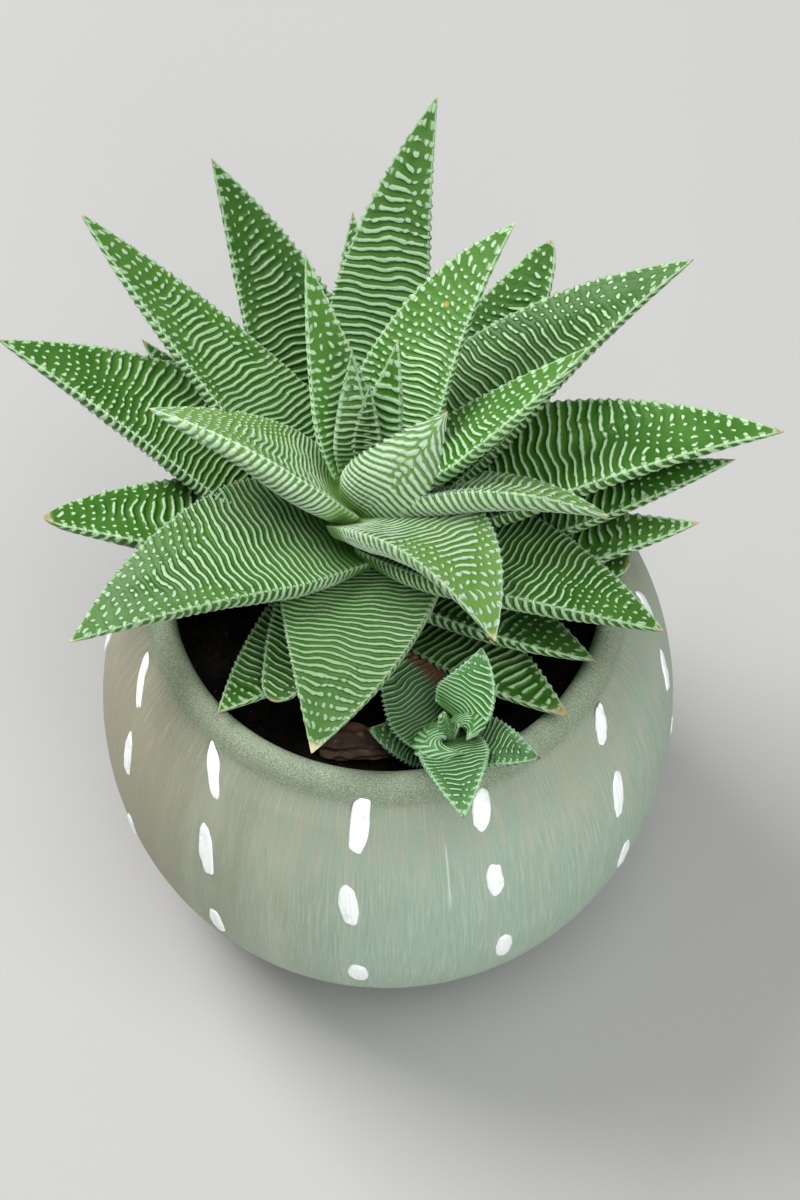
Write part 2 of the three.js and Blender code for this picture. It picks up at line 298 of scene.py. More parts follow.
for slot, (colours, line, roughness) in LEAF_LOOKS.items():
    leaf_materials[slot], nodes, links, shader = new_material(slot, roughness, 0.22)
    shader.inputs["Subsurface Weight"].default_value = 0.12
    shader.inputs["Subsurface Radius"].default_value = (0.4, 1.0, 0.2)
    shader.inputs["Subsurface Scale"].default_value = 0.0015
    look = nodes.new("ShaderNodeGroup")
    look.node_tree = skin
    for socket, colour in zip(SKIN_COLOURS, colours):
        look.inputs[socket].default_value = (*colour, 1)
    look.inputs["Line"].default_value = line
    finish_surface(look.outputs["Color"], look.outputs["Height"], 0.8, 0.0004)


# ---- Leaves: each one thick, with a channelled face, a thin margin, flanks and a keel below ----
# The ridges run across the face, end as teeth at the margin and slant down the flanks to the keel.
# A leaf is one closed shell of rows along a bent axis, which starts inside the stem that carries it.
FACE_COLUMNS = 36
UNDER_COLUMNS = 22
ROWS_PER_RIDGE = 5
FEWEST_ROWS = 40
MOST_ROWS = 260
# A leaf starts at this share of the stem's radius
ROOT_INSET = 0.6
# It opens from this share of its width at the foot to the full width, by this share of its length
FOOT_WIDTH = 0.7
OPEN_BY = 0.3
# Then it narrows by a power of the length, evenly on slim leaves. The peak scales the curve to the width.
FULLNESS = 2
SLIM_FULLNESS = 1.3
SLIM_LEAVES = ("leaf_01", "leaf_02", "leaf_03", "leaf_05")
CURVE_PEAK = 0.92
# A blunt tip rounds off from here on, and a sharp one keeps this half width
BLUNT_FROM = 0.93
TIP_HALF = 0.05
# Depth of the keel, of a bud's back and of the channel as a share of the width
KEEL_DEPTH = 0.25
BUD_DEPTH = 0.8
CHANNEL_DEPTH = 0.08
# Leaves whose ridges are lower and less pale than on the others
FAINT_RIDGES = {
    "leaf_16": 0.75,
    "offset_heart_1": 0.65,
    "offset_heart_2": 0.65,
    "offset_bud_1": 0.35,
    "offset_bud_2": 0.35,
}
# Waves of the ridges: lean, length across the leaf and along it in millimetres, and swing in ridge
# spacings. The lengths are for ridges that stand WAVE_SPACING apart, and the shoot's waves swing wider.
WAVES = [(1, 21, 44, 0.26), (-1, 12, 26, 0.17), (1, 7.5, 15, 0.10), (-1, 4.8, 9, 0.06)]
WAVE_SPACING = 1.5
SHOOT_WAVES = 1.6
# How much closer than average the ridges stand at the foot, and their slant on the flanks in spacings
CROWDING = 0.5
OLD_CROWDING = 0.3
FLANK_SLANT = 2.4
# Beads stand this much further apart than ridges, and a ridge breaks up over this share of the leaf
BEAD_EXTRA = 0.2
BREAK_OVER = 0.38
# Height of the ridges in millimetres on the face, what margin teeth and flanks add to it, the share that
# is left of it where a ridge is broken into beads, and the share that the finest of ridges would have
FACE_LIFT = 0.30
TOOTH_LIFT = 0.30
FLANK_LIFT = 0.25
BROKEN_LIFT = 0.15
CLOSE_LIFT = 0.15


def unit(vectors):
    return vectors / np.linalg.norm(vectors, axis=-1, keepdims=True)


def smooth(value, low, high):
    t = np.clip((value - low) / (high - low), 0, 1)
    return t * t * (3 - 2 * t)


def close_mesh(bm, mesh, seam):
    bmesh.ops.remove_doubles(bm, verts=bm.verts, dist=seam)
    bmesh.ops.recalc_face_normals(bm, faces=bm.faces)
    for polygon in bm.faces:
        polygon.smooth = True
    bm.to_mesh(mesh)
    bm.free()


def leaf(name, stem, shape, spacing, broken, tone, dry_length, slot, seed, withered=0):
    root_z, root_turn, tip_turn, reach, tip_z, bow, sweep, width, roll, taper = shape
    axis_x, axis_y, stem_radius = stem
    turn = math.radians(root_turn)
    inset = ROOT_INSET * stem_radius
    root = np.array([axis_x + inset * math.cos(turn), axis_y + inset * math.sin(turn), root_z])
    turn = math.radians(tip_turn)
    tip = np.array([axis_x + reach * math.cos(turn), axis_y + reach * math.sin(turn), tip_z])
    chord = tip - root
    length = np.linalg.norm(chord)
    left = unit(np.cross([0, 0, 1], chord))
    above = np.cross(chord / length, left)
    # The bend's control point lies twice as far from the chord as the axis does halfway
    middle = (root + tip) / 2 + 2 * bow * length * above + 2 * sweep * length * left

    # Rows along the curved axis, with the frame of each section
    rows = int(min(MOST_ROWS, max(FEWEST_ROWS, ROWS_PER_RIDGE * length / spacing)))
    s = np.linspace(0, 1, rows + 1)
    t = s[:, None]
    axis = (1 - t) ** 2 * root + 2 * t * (1 - t) * middle + t * t * tip
    tangent = unit(2 * (1 - t) * (middle - root) + 2 * t * (tip - middle))
    up = unit(above - (tangent @ above)[:, None] * tangent)
    side = np.cross(up, tangent)
    tilt = math.radians(roll)
    face_up = up * math.cos(tilt) + side * math.sin(tilt)
    face_side = side * math.cos(tilt) - up * math.sin(tilt)

    # Half width, depth of the keel and depth of the channel, row by row
    opening = FOOT_WIDTH + (1 - FOOT_WIDTH) * np.clip(s / OPEN_BY, 0, 1) ** 0.7
    end = np.clip((s - BLUNT_FROM) / (1 - BLUNT_FROM), 0, 1)
    rounding = np.sqrt(1 - end * end) if taper < 1 else 1
    fullness = SLIM_FULLNESS if name in SLIM_LEAVES else FULLNESS
    half = width / 2 * opening * (1 - (s * taper) ** fullness) / CURVE_PEAK * rounding
    half = np.maximum(half, TIP_HALF)
    share = 2 * half / width
    depth = width * (BUD_DEPTH if "bud" in name else KEEL_DEPTH) * share**0.7
    channel = width * CHANNEL_DEPTH * (1 - s) * share

    # Columns: over the face from margin to margin, closest at the margins, then back under the keel
    u = np.linspace(-1, 1, FACE_COLUMNS + 1)
    across = 0.6 * u + 0.4 * np.sin(u * math.pi / 2)
    angle = np.linspace(0, math.pi, UNDER_COLUMNS + 1)[1:-1]
    rank = np.arange(FACE_COLUMNS + UNDER_COLUMNS)
    under = (rank > FACE_COLUMNS).astype(float)
    over = np.concatenate([across, np.cos(angle)])
    sink = np.concatenate([np.zeros(FACE_COLUMNS + 1), np.sin(angle) ** 0.75])
    x = half[:, None] * over
    n = -depth[:, None] * sink - channel[:, None] * (1 - over**2) * (1 - under)
    # Ridges rise straight up on the face, sideways at the margins and outwards on the flanks
    out_x = np.where(under > 0, over, np.sign(over) * np.abs(over) ** 10)
    out_n = np.where(under > 0, -sink, 1.001 - np.abs(over) ** 14)
    out_size = np.hypot(out_x, out_n)
    out_x, out_n = out_x / out_size, out_n / out_size

    # Places of the ridges: wavy over the face, slanting on the flanks, meeting at the keel
    rng = np.random.default_rng(seed)
    shift = rng.uniform(0, 2 * math.pi, 8)
    grain = math.sqrt(spacing / WAVE_SPACING)
    wobble = 0 * x
    for start, (lean, across_mm, along_mm, swing) in zip(shift, WAVES):
        ahead = 2 * math.pi * t * length / (along_mm * grain)
        wobble = wobble + swing * np.sin(2 * math.pi * x / (across_mm * grain) + lean * ahead + start)
    to_keel = np.concatenate([np.zeros(FACE_COLUMNS + 1), 1 - np.abs(1 - 2 * angle / math.pi)])
    wobble = wobble * (1 - to_keel) * (SHOOT_WAVES if slot == "offset_leaf" else 1)
    crowding = OLD_CROWDING if slot == "old_leaf" else CROWDING
    phase = length / spacing * ((1 + crowding) * t - crowding * t * t) + wobble - FLANK_SLANT * to_keel
    from_margin = np.hypot(half[:, None] * (1 - np.abs(over)), depth[:, None] * sink)

    # Ridges break into beads towards the tip, sooner near the margins, and are weak at both ends
    bead = x / (spacing + BEAD_EXTRA)
    tattered = t + 0.22 * over**2 + 0.1 * np.sin(4 * over + 7 * t + shift[7])
    whole = 1 - smooth(tattered, broken, broken + BREAK_OVER)
    whole = np.where(under > 0, np.minimum(whole + 0.5, 1) - 0.5 * smooth(to_keel, 0.5, 1.0), whole)
    strength = smooth(t, 0.04, 0.2) * (1 - 0.5 * smooth(t, 0.95, 1.0)) + 0 * over
    strength = strength * FAINT_RIDGES.get(name, 1)
    crest = (0.5 + 0.5 * np.cos(2 * math.pi * phase)) ** np.where(under > 0, 0.8, 1.6)
    teeth = smooth(np.abs(over), 0.85, 1.0) * (1 - under)
    lift = (FACE_LIFT + TOOTH_LIFT * teeth + FLANK_LIFT * under) * crest * strength
    lift = lift * (BROKEN_LIFT + (1 - BROKEN_LIFT) * np.maximum(whole, 0.8 * teeth))
    lift = lift * np.clip(share * 2, 0, 1)[:, None] * min(1, CLOSE_LIFT + 0.65 * spacing)

    where = axis[:, None, :]
    where = where + (x + out_x * lift)[:, :, None] * face_side[:, None, :]
    where = where + (n + out_n * lift)[:, :, None] * face_up[:, None, :]

    # The grid's last column is the first one again, and its two ends close to a point
    columns = FACE_COLUMNS + UNDER_COLUMNS
    bm = bmesh.new()
    bmesh.ops.create_grid(bm, x_segments=columns, y_segments=rows, size=1)
    mesh = bpy.data.meshes.new(name)
    bm.to_mesh(mesh)
    flat = np.empty(len(mesh.vertices) * 3)
    mesh.vertices.foreach_get("co", flat)
    flat = flat.reshape(-1, 3)
    column = np.rint((flat[:, 0] + 1) / 2 * columns).astype(int) % columns
    row = np.rint((flat[:, 1] + 1) / 2 * rows).astype(int)
    placed = where[row, column]
    placed[row == rows] = where[rows].mean(axis=0)
    placed[row == 0] = axis[0] - 0.4 * depth[0] * face_up[0]
    mesh.vertices.foreach_set("co", (placed * MM).ravel())
    dry = smooth(length * (1 - t) + 0 * over, dry_length, 0.3 * dry_length)
    dry = np.maximum(dry, abs(withered) * smooth(withered * over - 0.1 * t, 0.4, 0.7))
    fields = {
        "phase": phase,
        "bead": bead,
        "whole": whole,
        "strength": strength,
        "edge": from_margin,
        "dry": dry,
        "along": t + 0 * over,
        "below": under + 0 * phase,
        "tone": tone + 0 * phase,
    }
    for label, values in fields.items():
        layer = mesh.attributes.new(label, "FLOAT", "POINT")
        layer.data.foreach_set("value", values[row, column])
    bm.clear()
    bm.from_mesh(mesh)
    close_mesh(bm, mesh, 1e-7)
    mesh.materials.append(leaf_materials[slot])
    piece = put_in_scene(name + "_fine", mesh)
    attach(piece, "root")
    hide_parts(name)


# ---- Rosette: the leaves of the main plant, in a spiral round its short stem, youngest first ----
# Root height and direction, tip direction, reach and height, bow, sweep, width, roll, taper, then ridge
# spacing, where the ridges start to break into beads, tone, length of the dry tip and kind.
SHAPE_VALUES = 10
ROSETTE_SEED = 100
# Place and radius of the stem
STEM = (-3, 7, 4.5)
ROSETTE = [
    ("leaf_01", 96, 100, 88, 10, 107, 0, 0, 4.5, 0, 1, 1.2, 0.5, -0.1, 0.6, "old_leaf"),
    ("leaf_02", 94, 150, 101, 13, 112, -0.02, 0, 6.3, 0, 1, 1.3, 0.5, -0.05, 0.8, "leaf"),
    ("leaf_03", 94, 79, 70, 14, 114, -0.02, 0, 7.5, 0, 1, 1.55, 0.5, 0.1, 0.8, "leaf"),
    ("leaf_04", 91, -95, 3, 12.5, 112, 0.06, -0.08, 13.5, 128, 1, 1.3, 0.3, 0.0, 1.2, "young_leaf"),
    ("leaf_05", 93, 116, 110, 29, 118, -0.02, 0, 12, -10, 1, 1.5, 0.25, 0.1, 1.0, "leaf"),
    ("leaf_06", 92, 27, 25, 39, 108, 0, 0, 15, 29, 1, 1.45, 0.3, 0.12, 1.0, "leaf"),
    ("leaf_07", 91, 180, 166, 36, 102, 0.12, -0.02, 24.5, -40, 1, 1.15, 0.35, 0.08, 1.2, "young_leaf"),
    ("leaf_08", 91, -115, -58, 37, 96, 0.17, 0.11, 22, 20, 1, 1.2, 0.45, -0.1, 1.5, "young_leaf"),
    ("leaf_09", 90, -20, -12, 39, 96, 0.1, 0.07, 19, 43, 1, 1.25, 0.55, 0.0, 1.2, "young_leaf"),
    ("leaf_10", 91, 70, 55, 41, 118, -0.02, 0.1, 17, 10, 1, 1.3, 0.35, 0.05, 1.0, "leaf"),
    ("leaf_11", 88, 82, 80, 66, 114, -0.05, 0.06, 19, 0, 1, 1.5, 0.6, -0.22, 1.0, "leaf"),
    ("leaf_12", 86, -150, -153, 53, 84, 0.12, -0.02, 26, -10, 1, 1.3, 0.45, -0.14, 1.0, "leaf"),
    ("leaf_13", 88, 42, 33, 63, 108, -0.02, 0.09, 23, 12, 1, 1.5, 0.55, -0.05, 1.2, "old_leaf"),
    ("leaf_14", 87, 137, 137, 65, 108, 0, -0.01, 20, -25, 1, 1.4, 0.45, -0.08, 1.4, "leaf"),
    ("leaf_15", 87, 12, 6, 67, 98, 0, 0.08, 24, 10, 1, 1.65, 0.5, 0.1, 2.2, "old_leaf"),
    ("leaf_16", 85, -100, -101, 45, 84, 0.1, 0.04, 26, -5, 1, 1.02, 0.65, -0.25, 2.4, "leaf"),
    ("leaf_18", 86, -28, -29, 53, 90, 0.05, 0.02, 26, 20, 1, 1.2, 0.6, -0.1, 1.6, "old_leaf"),
    ("leaf_19", 81, 156, 156, 67, 96, 0, -0.06, 27, -15, 1, 1.4, 0.55, 0.0, 1.2, "old_leaf"),
    ("leaf_17", 78, 115, 117, 57, 114, -0.1, -0.06, 22, -5, 1, 1.4, 0.55, -0.08, 1.2, "old_leaf"),
    ("leaf_21", 77, 56, 55, 53, 102, -0.03, 0, 22, 0, 0.95, 1.4, 0.6, -0.05, 0.9, "old_leaf"),
    ("leaf_22", 78.5, 7, 5, 59.5, 93, 0, 0, 17, 5, 1, 1.4, 0.55, -0.05, 1.6, "old_leaf"),
    ("leaf_24", 78, -33, -36, 44.5, 82, 0, 0, 19, 20, 1, 1.4, 0.5, 0.0, 1.5, "old_leaf"),
    ("leaf_23", 77, 181, 183, 52.5, 88, 0.02, -0.04, 23, -15, 0.95, 1.4, 0.55, 0.05, 1.8, "old_leaf"),
    ("leaf_20", 75, 94, 93, 59.5, 91, 0, 0, 15, 0, 1, 1.4, 0.6, -0.05, 2.0, "old_leaf"),
    ("leaf_25", 74, 142, 140, 50, 90, -0.03, 0, 16, -10, 1, 1.4, 0.6, -0.05, 2.0, "old_leaf"),
    ("leaf_26", 74, -2, -4, 53.5, 88, -0.02, 0, 17, 5, 1, 1.4, 0.55, -0.05, 1.8, "old_leaf"),
    ("leaf_28", 77, -120, -116, 35, 78.5, 0.05, 0, 17, 0, 0.9, 0.95, 0.85, 0.0, 0.6, "old_leaf"),
    ("leaf_30", 71, -6, -8, 43, 80, -0.03, 0, 16, 0, 0.85, 1.3, 0.6, -0.05, 1.0, "old_leaf"),
    ("leaf_27", 71, -48, -48, 47.5, 80, -0.02, 0, 16, 5, 1, 1.55, 0.7, 0.0, 4.5, "old_leaf"),
    ("leaf_29", 70.5, -129, -125, 41.5, 79, -0.01, 0, 16, 0, 1, 1.2, 0.7, 0.0, 1.4, "old_leaf"),
    ("leaf_32", 70.5, -68, -66, 30, 72.5, 0, 0, 13, 0, 1, 1.2, 0.5, 0.0, 2.0, "old_leaf"),
]
for number, (name, *values) in enumerate(ROSETTE):
    leaf(name, STEM, values[:SHAPE_VALUES], *values[SHAPE_VALUES:], ROSETTE_SEED + number)


# ---- Offset shoot: a small young plant at the front rim, with finer ridges and a closed heart ----
# It grows on a thin stem of its own, and one leaf is dry along the margin that faces the heart.
# Same columns as the rosette, all of one kind.
WITHERED_SIDES = {"offset_leaf_3": -1}
SHOOT_SEED = 200
OFFSET_STEM = (10, -29.5, 2.4)
OFFSET_SHOOT = [
    ("offset_bud_1", 78, -135, 200, 1.6, 84.4, 0, 0, 2.6, 180, 0.8, 0.6, 0.3, 0.1, 0.1),
    ("offset_bud_2", 77, -60, -45, 2.2, 83, 0, 0, 2, 180, 0.8, 0.6, 0.3, 0.1, 0.1),
    ("offset_heart_1", 78.5, 165, -70, 6.4, 81.4, 0.03, -0.5, 5.4, 165, 1, 1.0, 0.6, 0.25, 0.3),
    ("offset_heart_2", 78.5, 70, -62, 4.8, 81.8, 0.08, 0.38, 4.6, 185, 1, 1.0, 0.6, 0.25, 0.3),
    ("offset_leaf_1", 79, 85, 65, 11.6, 86, 0.12, -0.1, 9.6, 0, 1, 0.82, 0.6, 0.45, 0.5),
    ("offset_leaf_2", 79, -90, -84, 17.5, 81, 0.12, 0, 10.5, 0, 1, 0.84, 0.55, 0.1, 0.6),
    ("offset_leaf_3", 75, 140, 125, 19, 79.5, 0, 0, 13, 0, 1, 0.85, 0.8, -0.1, 3.0),
    ("offset_leaf_4", 73, 175, 167, 13.5, 73, 0, 0, 9, 0, 1, 0.8, 0.6, -0.1, 0.8),
    ("offset_leaf_5", 78, -20, -26, 15.5, 81, 0, 0, 9, 0, 1, 0.9, 0.45, -0.15, 1.0),
]
for number, (name, *values) in enumerate(OFFSET_SHOOT):
    ridges = values[SHAPE_VALUES:]
    withered = WITHERED_SIDES.get(name, 0)
    leaf(name, OFFSET_STEM, values[:SHAPE_VALUES], *ridges, "offset_leaf", SHOOT_SEED + number, withered)


# ---- Pot: turned clay with a rolled rim, painted grey-green with a wide brush, gritty on the rim ----
# The profile runs across the base, up the outside, over the rim, down the inside and across the floor.
# The pot stands on its flat base, and its wall is slightly uneven.
POT_AROUND = 240
# The outside is two half ellipses that meet at the belly, with these half heights
BELLY_RADIUS = 50
BELLY_Z = 38
LOWER_CURVE = 55.0
UPPER_CURVE = 57.5
WALL = 4.5
FLOOR_Z = 6
FLOOR_RADIUS = 33.5
WALL_WAVE = 0.16
WALL_RIPPLE = 0.05
# Brushed paint, and the clay, dirt and grit that show through it, with a painted brown reflection and
# painted shade
GREEN = (0.271, 0.370, 0.278, 1)
OLIVE = (0.330, 0.375, 0.280, 1)
SEA_GREEN = (0.283, 0.390, 0.313, 1)
PALE_STROKE = (0.39, 0.46, 0.36, 1)
DARK_STROKE = (0.235, 0.285, 0.210, 1)
# Brown of a table beside the pot, painted on the left side as its reflection
TABLE_REFLECTION_BROWN = (0.265, 0.235, 0.155, 1)
# Grime, darkened further by painted shade under the rim
GRIME_AND_SHADE = (0.185, 0.215, 0.150, 1)
BARE_CLAY = (0.41, 0.33, 0.24, 1)
DARK_GRIT = (0.115, 0.150, 0.090, 1)
PALE_GRIT = (0.28, 0.35, 0.235, 1)
PALE_GRAIN = (0.50, 0.56, 0.48, 1)
SCRATCH = (0.62, 0.70, 0.60, 1)


def belly(z):
    curve = LOWER_CURVE if z < BELLY_Z else UPPER_CURVE
    return BELLY_RADIUS * math.sqrt(1 - ((z - BELLY_Z) / curve) ** 2)


def round_the_pot(radius, turn, z):
    return (radius * math.cos(turn) * MM, radius * math.sin(turn) * MM, z * MM)


outside = [(belly(z), z) for z in np.linspace(3, 69, 56)]
rolled = [(39.9, 71.5), (39.6, 72.6), (39.2, 73.7), (38.8, 74.6), (38.2, 75.35), (37.4, 75.85)]
rolled += [(36.6, 76), (35.95, 75.85), (35.4, 75.3), (35.05, 74.5), (34.95, 73), (35.05, 70.5)]
rolled += [(35.5, 68), (36.2, 66)]
inside = [(belly(z) - WALL, z) for z in (60, 46, 31, 16)]
base = [(0, 0), (30, 0), (34, 0), (34.8, 0.3), (36.6, 1.4)]
profile = [*base, *outside, *rolled, *inside, (FLOOR_RADIUS, FLOOR_Z), (0, FLOOR_Z)]
pot_mesh = bpy.data.meshes.new("pot")
pot_bm = bmesh.new()
bmesh.ops.create_grid(pot_bm, x_segments=POT_AROUND, y_segments=len(profile) - 1, size=1)
for vertex in pot_bm.verts:
    turn = (vertex.co.x + 1) * math.pi
    radius, z = profile[round((vertex.co.y + 1) / 2 * (len(profile) - 1))]
    spot = Vector((math.cos(turn), math.sin(turn), z / BELLY_RADIUS))
    uneven = WALL_WAVE * noise.noise(spot * 1.7) + WALL_RIPPLE * noise.noise(spot * 9)
    # The base, the floor and the top of the rim stay true
    radius = radius + uneven if 1 < z < 75 and radius > FLOOR_RADIUS else radius
    vertex.co = round_the_pot(radius, turn, z)
close_mesh(pot_bm, pot_mesh, 1e-6)
pot = put_in_scene("pot_painted", pot_mesh)

# Brush streaks follow the height, so the noise is taken on the direction round the pot
clay = bpy.data.node_groups.new("brushed clay", "ShaderNodeTree")
clay.interface.new_socket("Color", in_out="OUTPUT", socket_type="NodeSocketColor")
clay.interface.new_socket("Height", in_out="OUTPUT", socket_type="NodeSocketFloat")
nodes = clay.nodes
links = clay.links
made = nodes.new("NodeGroupOutput")
place = nodes.new("ShaderNodeTexCoord").outputs["Object"]
apart = nodes.new("ShaderNodeSeparateXYZ")
links.new(place, apart.inputs[0])
round_x = apart.outputs["X"]
round_y = apart.outputs["Y"]
up_side = apart.outputs["Z"]
radius = maths("SQRT", maths("MULTIPLY_ADD", round_x, round_x, maths("MULTIPLY", round_y, round_y)))
sideways = maths("DIVIDE", round_x, radius)
streaky = nodes.new("ShaderNodeCombineXYZ")
links.new(sideways, streaky.inputs["X"])
links.new(maths("DIVIDE", round_y, radius), streaky.inputs["Y"])
links.new(maths("MULTIPLY", up_side, 1.1), streaky.inputs["Z"])
fine_streaks = speckle(130, 4, streaky.outputs[0])
wide_streaks = speckle(9, 3, streaky.outputs[0])
cloud = speckle(22, 3, place)
grit = speckle(5200, 1, place)
tint = blended(ramp(wide_streaks, 0.35, 0.7), GREEN, OLIVE)
tint = blended(ramp(cloud, 0.35, 0.7, 0.0, 0.8), tint, SEA_GREEN)
tint = blended(ramp(fine_streaks, 0.45, 0.72, 0.0, 0.75), tint, PALE_STROKE)
tint = blended(ramp(fine_streaks, 0.45, 0.25, 0.0, 0.5), tint, DARK_STROKE)
# The left side is tinted brown in broad streaks: a painted reflection of a brown table beside the pot
table_reflection = maths("ADD", sideways, centred(wide_streaks, 0.8))
table_reflection = maths("ADD", table_reflection, ramp(round_y, 0.0, 0.03, 0.0, 0.5))
tint = blended(ramp(table_reflection, -0.1, -1.0, 0.0, 0.85), tint, TABLE_REFLECTION_BROWN)
# Grime and painted shade under the rim darken a streaky band just below it, and bare clay shows between
# the brush marks there
grime_and_shade_band = maths("ADD", centred(fine_streaks, 0.016), up_side)
tint = blended(ramp(grime_and_shade_band, 0.060, 0.071, 0.0, 0.42), tint, GRIME_AND_SHADE)
bare = maths("MULTIPLY", ramp(fine_streaks, 0.52, 0.64, 0.0, 0.45), ramp(up_side, 0.050, 0.064))
tint = blended(bare, tint, BARE_CLAY)
# The rim and its inside are gritty
rim = ramp(maths("ADD", up_side, centred(cloud, 0.002)), 0.0706, 0.0726)
speckled = blended(ramp(grit, 0.4, 0.58), DARK_GRIT, PALE_GRIT)
tint = blended(maths("MULTIPLY", rim, 0.7), tint, speckled)
grain = blended(ramp(grit, 0.62, 0.8, 0.0, 0.5), tint, PALE_GRAIN)
# One thin pale scratch down the front
beside = maths("SUBTRACT", sideways, maths("MULTIPLY_ADD", cloud, 0.006, 0.208))
scratch = maths("MULTIPLY", ramp(maths("ABSOLUTE", beside), 0.0045, 0.002), ramp(up_side, 0.050, 0.054))
scratch = maths("MULTIPLY", scratch, ramp(up_side, 0.0665, 0.063))
scratch = maths("MULTIPLY", scratch, ramp(round_y, 0.0, -0.01, 0.0, 0.55))
links.new(blended(scratch, grain, SCRATCH), made.inputs["Color"])
rough_paint = maths("MULTIPLY_ADD", grit, 0.25, fine_streaks)
rough_rim = maths("MULTIPLY", maths("MULTIPLY", grit, rim), 1.2)
links.new(maths("ADD", rough_paint, rough_rim), made.inputs["Height"])

painted_clay, nodes, links, shader = new_material("painted clay", 0.58, 0.4)
look = nodes.new("ShaderNodeGroup")
look.node_tree = clay
finish_surface(look.outputs["Color"], look.outputs["Height"], 0.5, 0.00025)
pot_mesh.materials.append(painted_clay)
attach(pot, "root")
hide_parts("pot")


# ---- Painted dashes: thick white brush daubs in columns of three round the pot, domed and uneven ----
# The paint stands a little proud of the clay, and its edge and its back are sunk just inside it.
DAUB_COLUMNS = 16
DAUB_ROWS = 36
PAINT_THICKNESS = 0.32
PAINT_UNEVEN = 0.16
EDGE_SUNK = 0.22
BACK_SUNK = 0.4
DULL_WHITE = (0.72, 0.77, 0.74, 1)
BRIGHT_WHITE = (0.87, 0.91, 0.89, 1)
# Direction and height of the middle, length along the pot's side, width, and slant sideways per length
DASHES = [
    (-160.3, 67.6, 7.6, 2.5, -0.7), (-154.7, 54.2, 10.0, 2.5, -0.2), (-153, 33, 8.6, 2.7, 0.1),
    (-130.9, 68.4, 8.2, 2.8, -0.5), (-128, 53.2, 12.2, 3.0, -0.17), (-126, 31, 10, 3.0, 0.0),
    (-96, 68.8, 10.4, 3.4, 0.05), (-97.4, 52.7, 10.4, 3.4, -0.09), (-95.8, 29.8, 9.6, 3.6, 0.0),
    (-69.1, 69.1, 7.0, 3.3, 0.16), (-68.5, 55.1, 8.2, 3.1, -0.02), (-66.9, 33.4, 10.4, 3.2, -0.04),
    (-34.5, 69.1, 6.0, 2.8, 0.54), (-37, 55.2, 10.8, 2.8, 0.17), (-36, 35, 10, 2.9, 0.05),
    (1, 66.8, 6.6, 2.8, 0.3), (-7, 56.5, 7.6, 2.7, 0.4), (-5, 34, 9, 2.8, 0.1),
    (27, 68.6, 7.6, 3.0, 0.2), (25, 54.2, 9.0, 3.2, 0.1), (26, 33.6, 9, 3.0, -0.1),
    (57, 69.0, 8.4, 3.3, -0.1), (58, 53.6, 9.6, 3.0, 0.05), (56, 33.2, 8.6, 3.2, 0.0),
    (88, 68.4, 7.4, 3.1, 0.1), (87, 54.8, 9.8, 3.3, -0.1), (89, 32.4, 9.2, 2.9, 0.1),
    (118, 68.9, 8.2, 2.9, -0.2), (119, 54.0, 8.8, 3.1, 0.0), (117, 33.0, 9.4, 3.2, 0.1),
    (149, 68.3, 7.8, 3.2, 0.2), (147, 54.4, 9.2, 3.0, -0.1), (148, 32.2, 8.8, 3.0, 0.0),
    (176, 68.8, 8.0, 3.0, -0.1), (177, 53.8, 9.4, 3.1, 0.1), (175, 33.4, 9.0, 2.9, -0.1),
]
dash_mesh = bpy.data.meshes.new("painted dashes")
dash_bm = bmesh.new()
for number, (direction, z_middle, long, wide, slant) in enumerate(DASHES):
    patch = bmesh.ops.create_grid(dash_bm, x_segments=DAUB_COLUMNS, y_segments=DAUB_ROWS, size=1)
    for vertex in patch["verts"]:
        a, b = vertex.co.x, vertex.co.y
        # The square grid becomes a rounded daub with a ragged edge
        inward = math.sqrt(1 - 0.5 * a * a) * b
        outward = math.sqrt(1 - 0.5 * b * b) * a
        edge = math.hypot(inward, outward)
        ragged = 1 + 0.16 * noise.noise(Vector((outward * 1.6, inward * 2.2, number * 3.7)))
        along = (0.45 * inward + 0.05 * b) * long * ragged
        over = (0.42 * outward + 0.08 * a) * wide * ragged + slant * along
        z = z_middle + along * 0.95
        dome = max(0.0, 1 - edge**4)
        bristles = noise.noise(Vector((outward * 5, inward * 1.6, number * 1.3)))
        thick = dome**0.5 * (PAINT_THICKNESS + PAINT_UNEVEN * bristles)
        radius = belly(z) - EDGE_SUNK + thick + EDGE_SUNK * min(1, dome * 3)
        turn = math.radians(direction) + over / radius
        vertex.co = round_the_pot(radius, turn, z)
# Each daub is closed by its own back, just inside the clay
back = bmesh.ops.duplicate(dash_bm, geom=dash_bm.verts[:] + dash_bm.edges[:] + dash_bm.faces[:])["geom"]
back_vertices = [item for item in back if isinstance(item, bmesh.types.BMVert)]
for vertex in back_vertices:
    if not vertex.is_boundary:
        z = vertex.co.z / MM
        turn = math.atan2(vertex.co.y, vertex.co.x)
        radius = belly(z) - BACK_SUNK
        vertex.co = round_the_pot(radius, turn, z)
close_mesh(dash_bm, dash_mesh, 1e-7)
dashes = put_in_scene("painted_dashes", dash_mesh)

paint, nodes, links, shader = new_material("white paint", 0.35)
place = nodes.new("ShaderNodeTexCoord").outputs["Object"]
brush = speckle(420, 3, place)
finish_surface(blended(ramp(brush, 0.25, 0.5), DULL_WHITE, BRIGHT_WHITE), brush, 0.5, 0.0003)
dash_mesh.materials.append(paint)
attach(dashes, "root")


# ---- Soil: dark peat that fills the pot, lumpy on top ----
# It fills the pot from the floor up, with a hair's gap to the wall, and the plant stands in it.
SOIL_Z = 66
SOIL_EDGE = 35.9
SOIL_AROUND = 180
SOIL_RINGS = 44
SOIL_GAP = 0.3
LUMP_HEIGHT = 0.9
FINE_LUMPS = 0.5
CRUMBS = 420
CRUMB_REACH = 34.6
